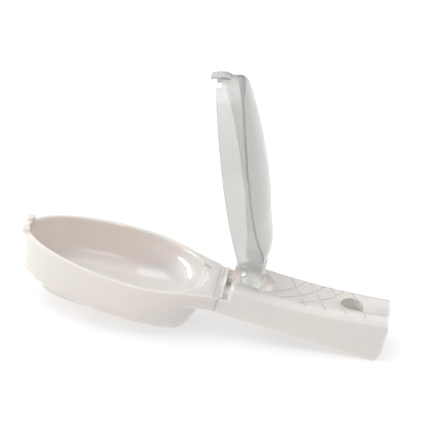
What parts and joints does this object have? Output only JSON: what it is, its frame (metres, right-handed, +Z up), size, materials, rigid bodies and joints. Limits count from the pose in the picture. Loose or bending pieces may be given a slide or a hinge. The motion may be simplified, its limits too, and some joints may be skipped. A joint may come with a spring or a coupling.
{
  "type": "lidded counting scoop",
  "caption": "Hand scoop with an oval basin, a hollow handle with a hang hole, and a clear domed lid that turns on a pin at the neck.",
  "frame": {"origin": "bottom centre of the whole object's box, resting on the heel of its foot and the end of its handle with the lid open", "axes": "+X towards the end of the handle, +Y across the scoop along the hinge axis, +Z up"},
  "size_m": [0.1936, 0.0638, 0.1405],
  "materials": {
    "white_plastic": "glossy, slightly translucent ivory white",
    "clear_plastic": "clear, glossy",
    "pin_steel": "plain drawn steel"
  },
  "bodies": {
    "scoop": {"scoop_basin": "white_plastic", "handle": "white_plastic", "hinge_pin": "pin_steel"},
    "lid": {"clear_lid": "clear_plastic"}
  },
  "joints": [
    {"name": "lid_hinge", "type": "hinge", "parent": "scoop", "child": "lid", "pos_m": [0.02229, 0, 0.02255], "axis": [0, 1, 0], "range_deg": [-67.05, 22.95]}
  ]
}
